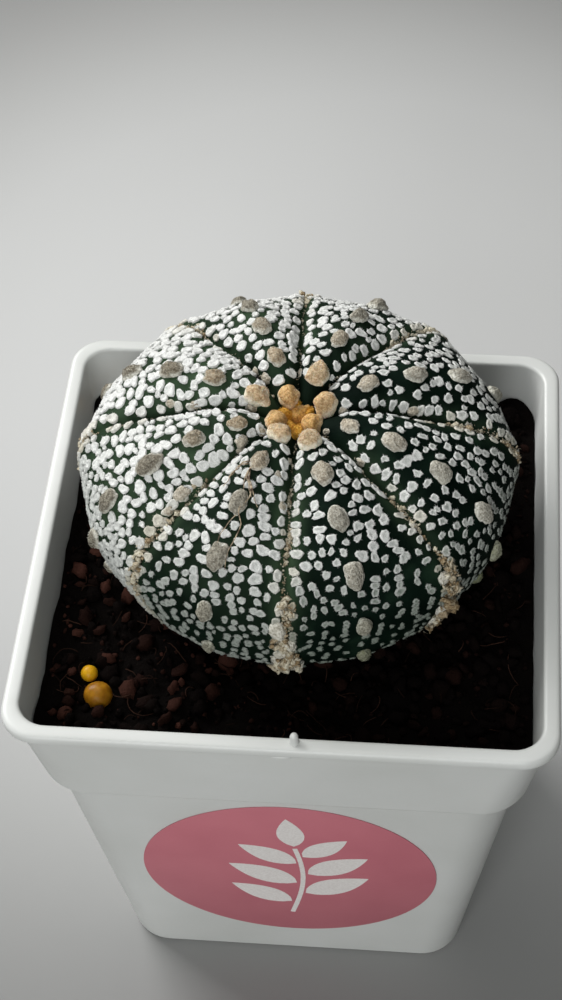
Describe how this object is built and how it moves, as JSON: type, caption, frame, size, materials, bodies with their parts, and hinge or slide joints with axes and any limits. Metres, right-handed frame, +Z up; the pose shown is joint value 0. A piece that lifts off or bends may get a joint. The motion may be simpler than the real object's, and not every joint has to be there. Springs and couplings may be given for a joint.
{
  "type": "potted star cactus",
  "caption": "Low ribbed star cactus with white scales, felt areoles and a woolly crown, rooted in peat in a tapered square plastic nursery pot with a thick lip and a round label.",
  "frame": {"origin": "middle of the pot's underside, on the surface that it stands on", "axes": "+Z up through the pot, -Y towards the wall that bears the round label, +X to the right of that wall as it is looked at"},
  "size_m": [0.072, 0.072, 0.0927],
  "materials": {
    "pot_plastic": "smooth moulded white plastic, semi-gloss",
    "label_paper": "matt printed sticker",
    "peat": "damp coarse peat with brown crumbs",
    "cactus_skin": "matt waxy skin with white felt scales",
    "wool": "dense tan wool",
    "prill_resin": "translucent amber resin coat"
  },
  "bodies": {
    "root": {"pot": "pot_plastic", "label": "label_paper", "soil": "peat", "cactus": "cactus_skin", "crown_wool": "wool", "prill_1": "prill_resin", "prill_2": "prill_resin", "prill_3": "prill_resin"}
  },
  "joints": []
}
